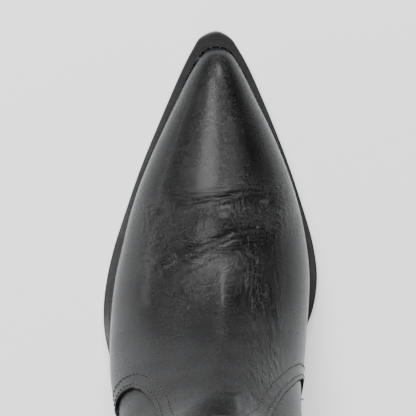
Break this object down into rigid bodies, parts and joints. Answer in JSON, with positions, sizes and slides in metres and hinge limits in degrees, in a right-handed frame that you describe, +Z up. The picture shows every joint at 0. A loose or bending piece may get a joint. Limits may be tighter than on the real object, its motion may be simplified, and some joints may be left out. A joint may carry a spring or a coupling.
{
  "type": "cowboy boot",
  "caption": "Left western boot of black leather: pointed toe, welted sole, stacked underslung heel, scalloped shaft and folding pull straps.",
  "frame": {"origin": "middle of the boot's box, on the ground", "axes": "+Z up, toe towards -Y, outer side of the foot towards +X"},
  "size_m": [0.11, 0.3166, 0.3874],
  "materials": {
    "upper_leather": "smooth, semi-gloss",
    "strap_leather": "smooth, semi-gloss",
    "lining_leather": "natural, matt",
    "stiffener_board": "matt",
    "sole_leather": "edge-dressed, matt",
    "insole_leather": "natural, matt",
    "cork": "granular, matt",
    "shank_steel": "satin",
    "nail_brass": "satin",
    "peg_wood": "matt",
    "heel_rubber": "matt"
  },
  "bodies": {
    "boot": {"vamp": "upper_leather", "counter_cover": "upper_leather", "shaft_front": "upper_leather", "shaft_back": "upper_leather", "side_piping_lateral": "upper_leather", "side_piping_medial": "upper_leather", "collar_binding": "upper_leather", "strap_outer_tail_lateral": "strap_leather", "strap_inner_tail_lateral": "strap_leather", "strap_outer_tail_medial": "strap_leather", "strap_inner_tail_medial": "strap_leather", "vamp_lining": "lining_leather", "heel_lining": "lining_leather", "shaft_lining_front": "lining_leather", "shaft_lining_back": "lining_leather", "sock_liner": "lining_leather", "toe_puff": "stiffener_board", "heel_stiffener": "stiffener_board", "welt": "sole_leather", "heel_rand": "sole_leather", "outsole": "sole_leather", "heel_lift_1": "sole_leather", "heel_lift_2": "sole_leather", "heel_lift_3": "sole_leather", "heel_lift_4": "sole_leather", "wedge_lift": "sole_leather", "insole": "insole_leather", "cork_filler": "cork", "shank": "shank_steel", "heel_nail_1": "nail_brass", "heel_nail_2": "nail_brass", "heel_nail_3": "nail_brass", "heel_nail_4": "nail_brass", "heel_nail_5": "nail_brass", "peg_1": "peg_wood", "peg_2": "peg_wood", "peg_3": "peg_wood", "peg_4": "peg_wood", "peg_5": "peg_wood", "peg_6": "peg_wood", "peg_7": "peg_wood", "peg_8": "peg_wood", "peg_9": "peg_wood", "peg_10": "peg_wood", "rubber_top_piece": "heel_rubber"},
    "strap_lateral": {"strap_loop_lateral": "strap_leather"},
    "strap_medial": {"strap_loop_medial": "strap_leather"}
  },
  "joints": [
    {"name": "strap_fold_lateral", "type": "hinge", "parent": "boot", "child": "strap_lateral", "pos_m": [0.04542, 0.08613, 0.3593], "axis": [0, 1, 0], "range_deg": [-40, 60], "stiffness_Nm_per_rad": 0.02},
    {"name": "strap_fold_medial", "type": "hinge", "parent": "boot", "child": "strap_medial", "pos_m": [-0.04515, 0.08613, 0.3593], "axis": [0, -1, 0], "range_deg": [-40, 60], "stiffness_Nm_per_rad": 0.02}
  ]
}
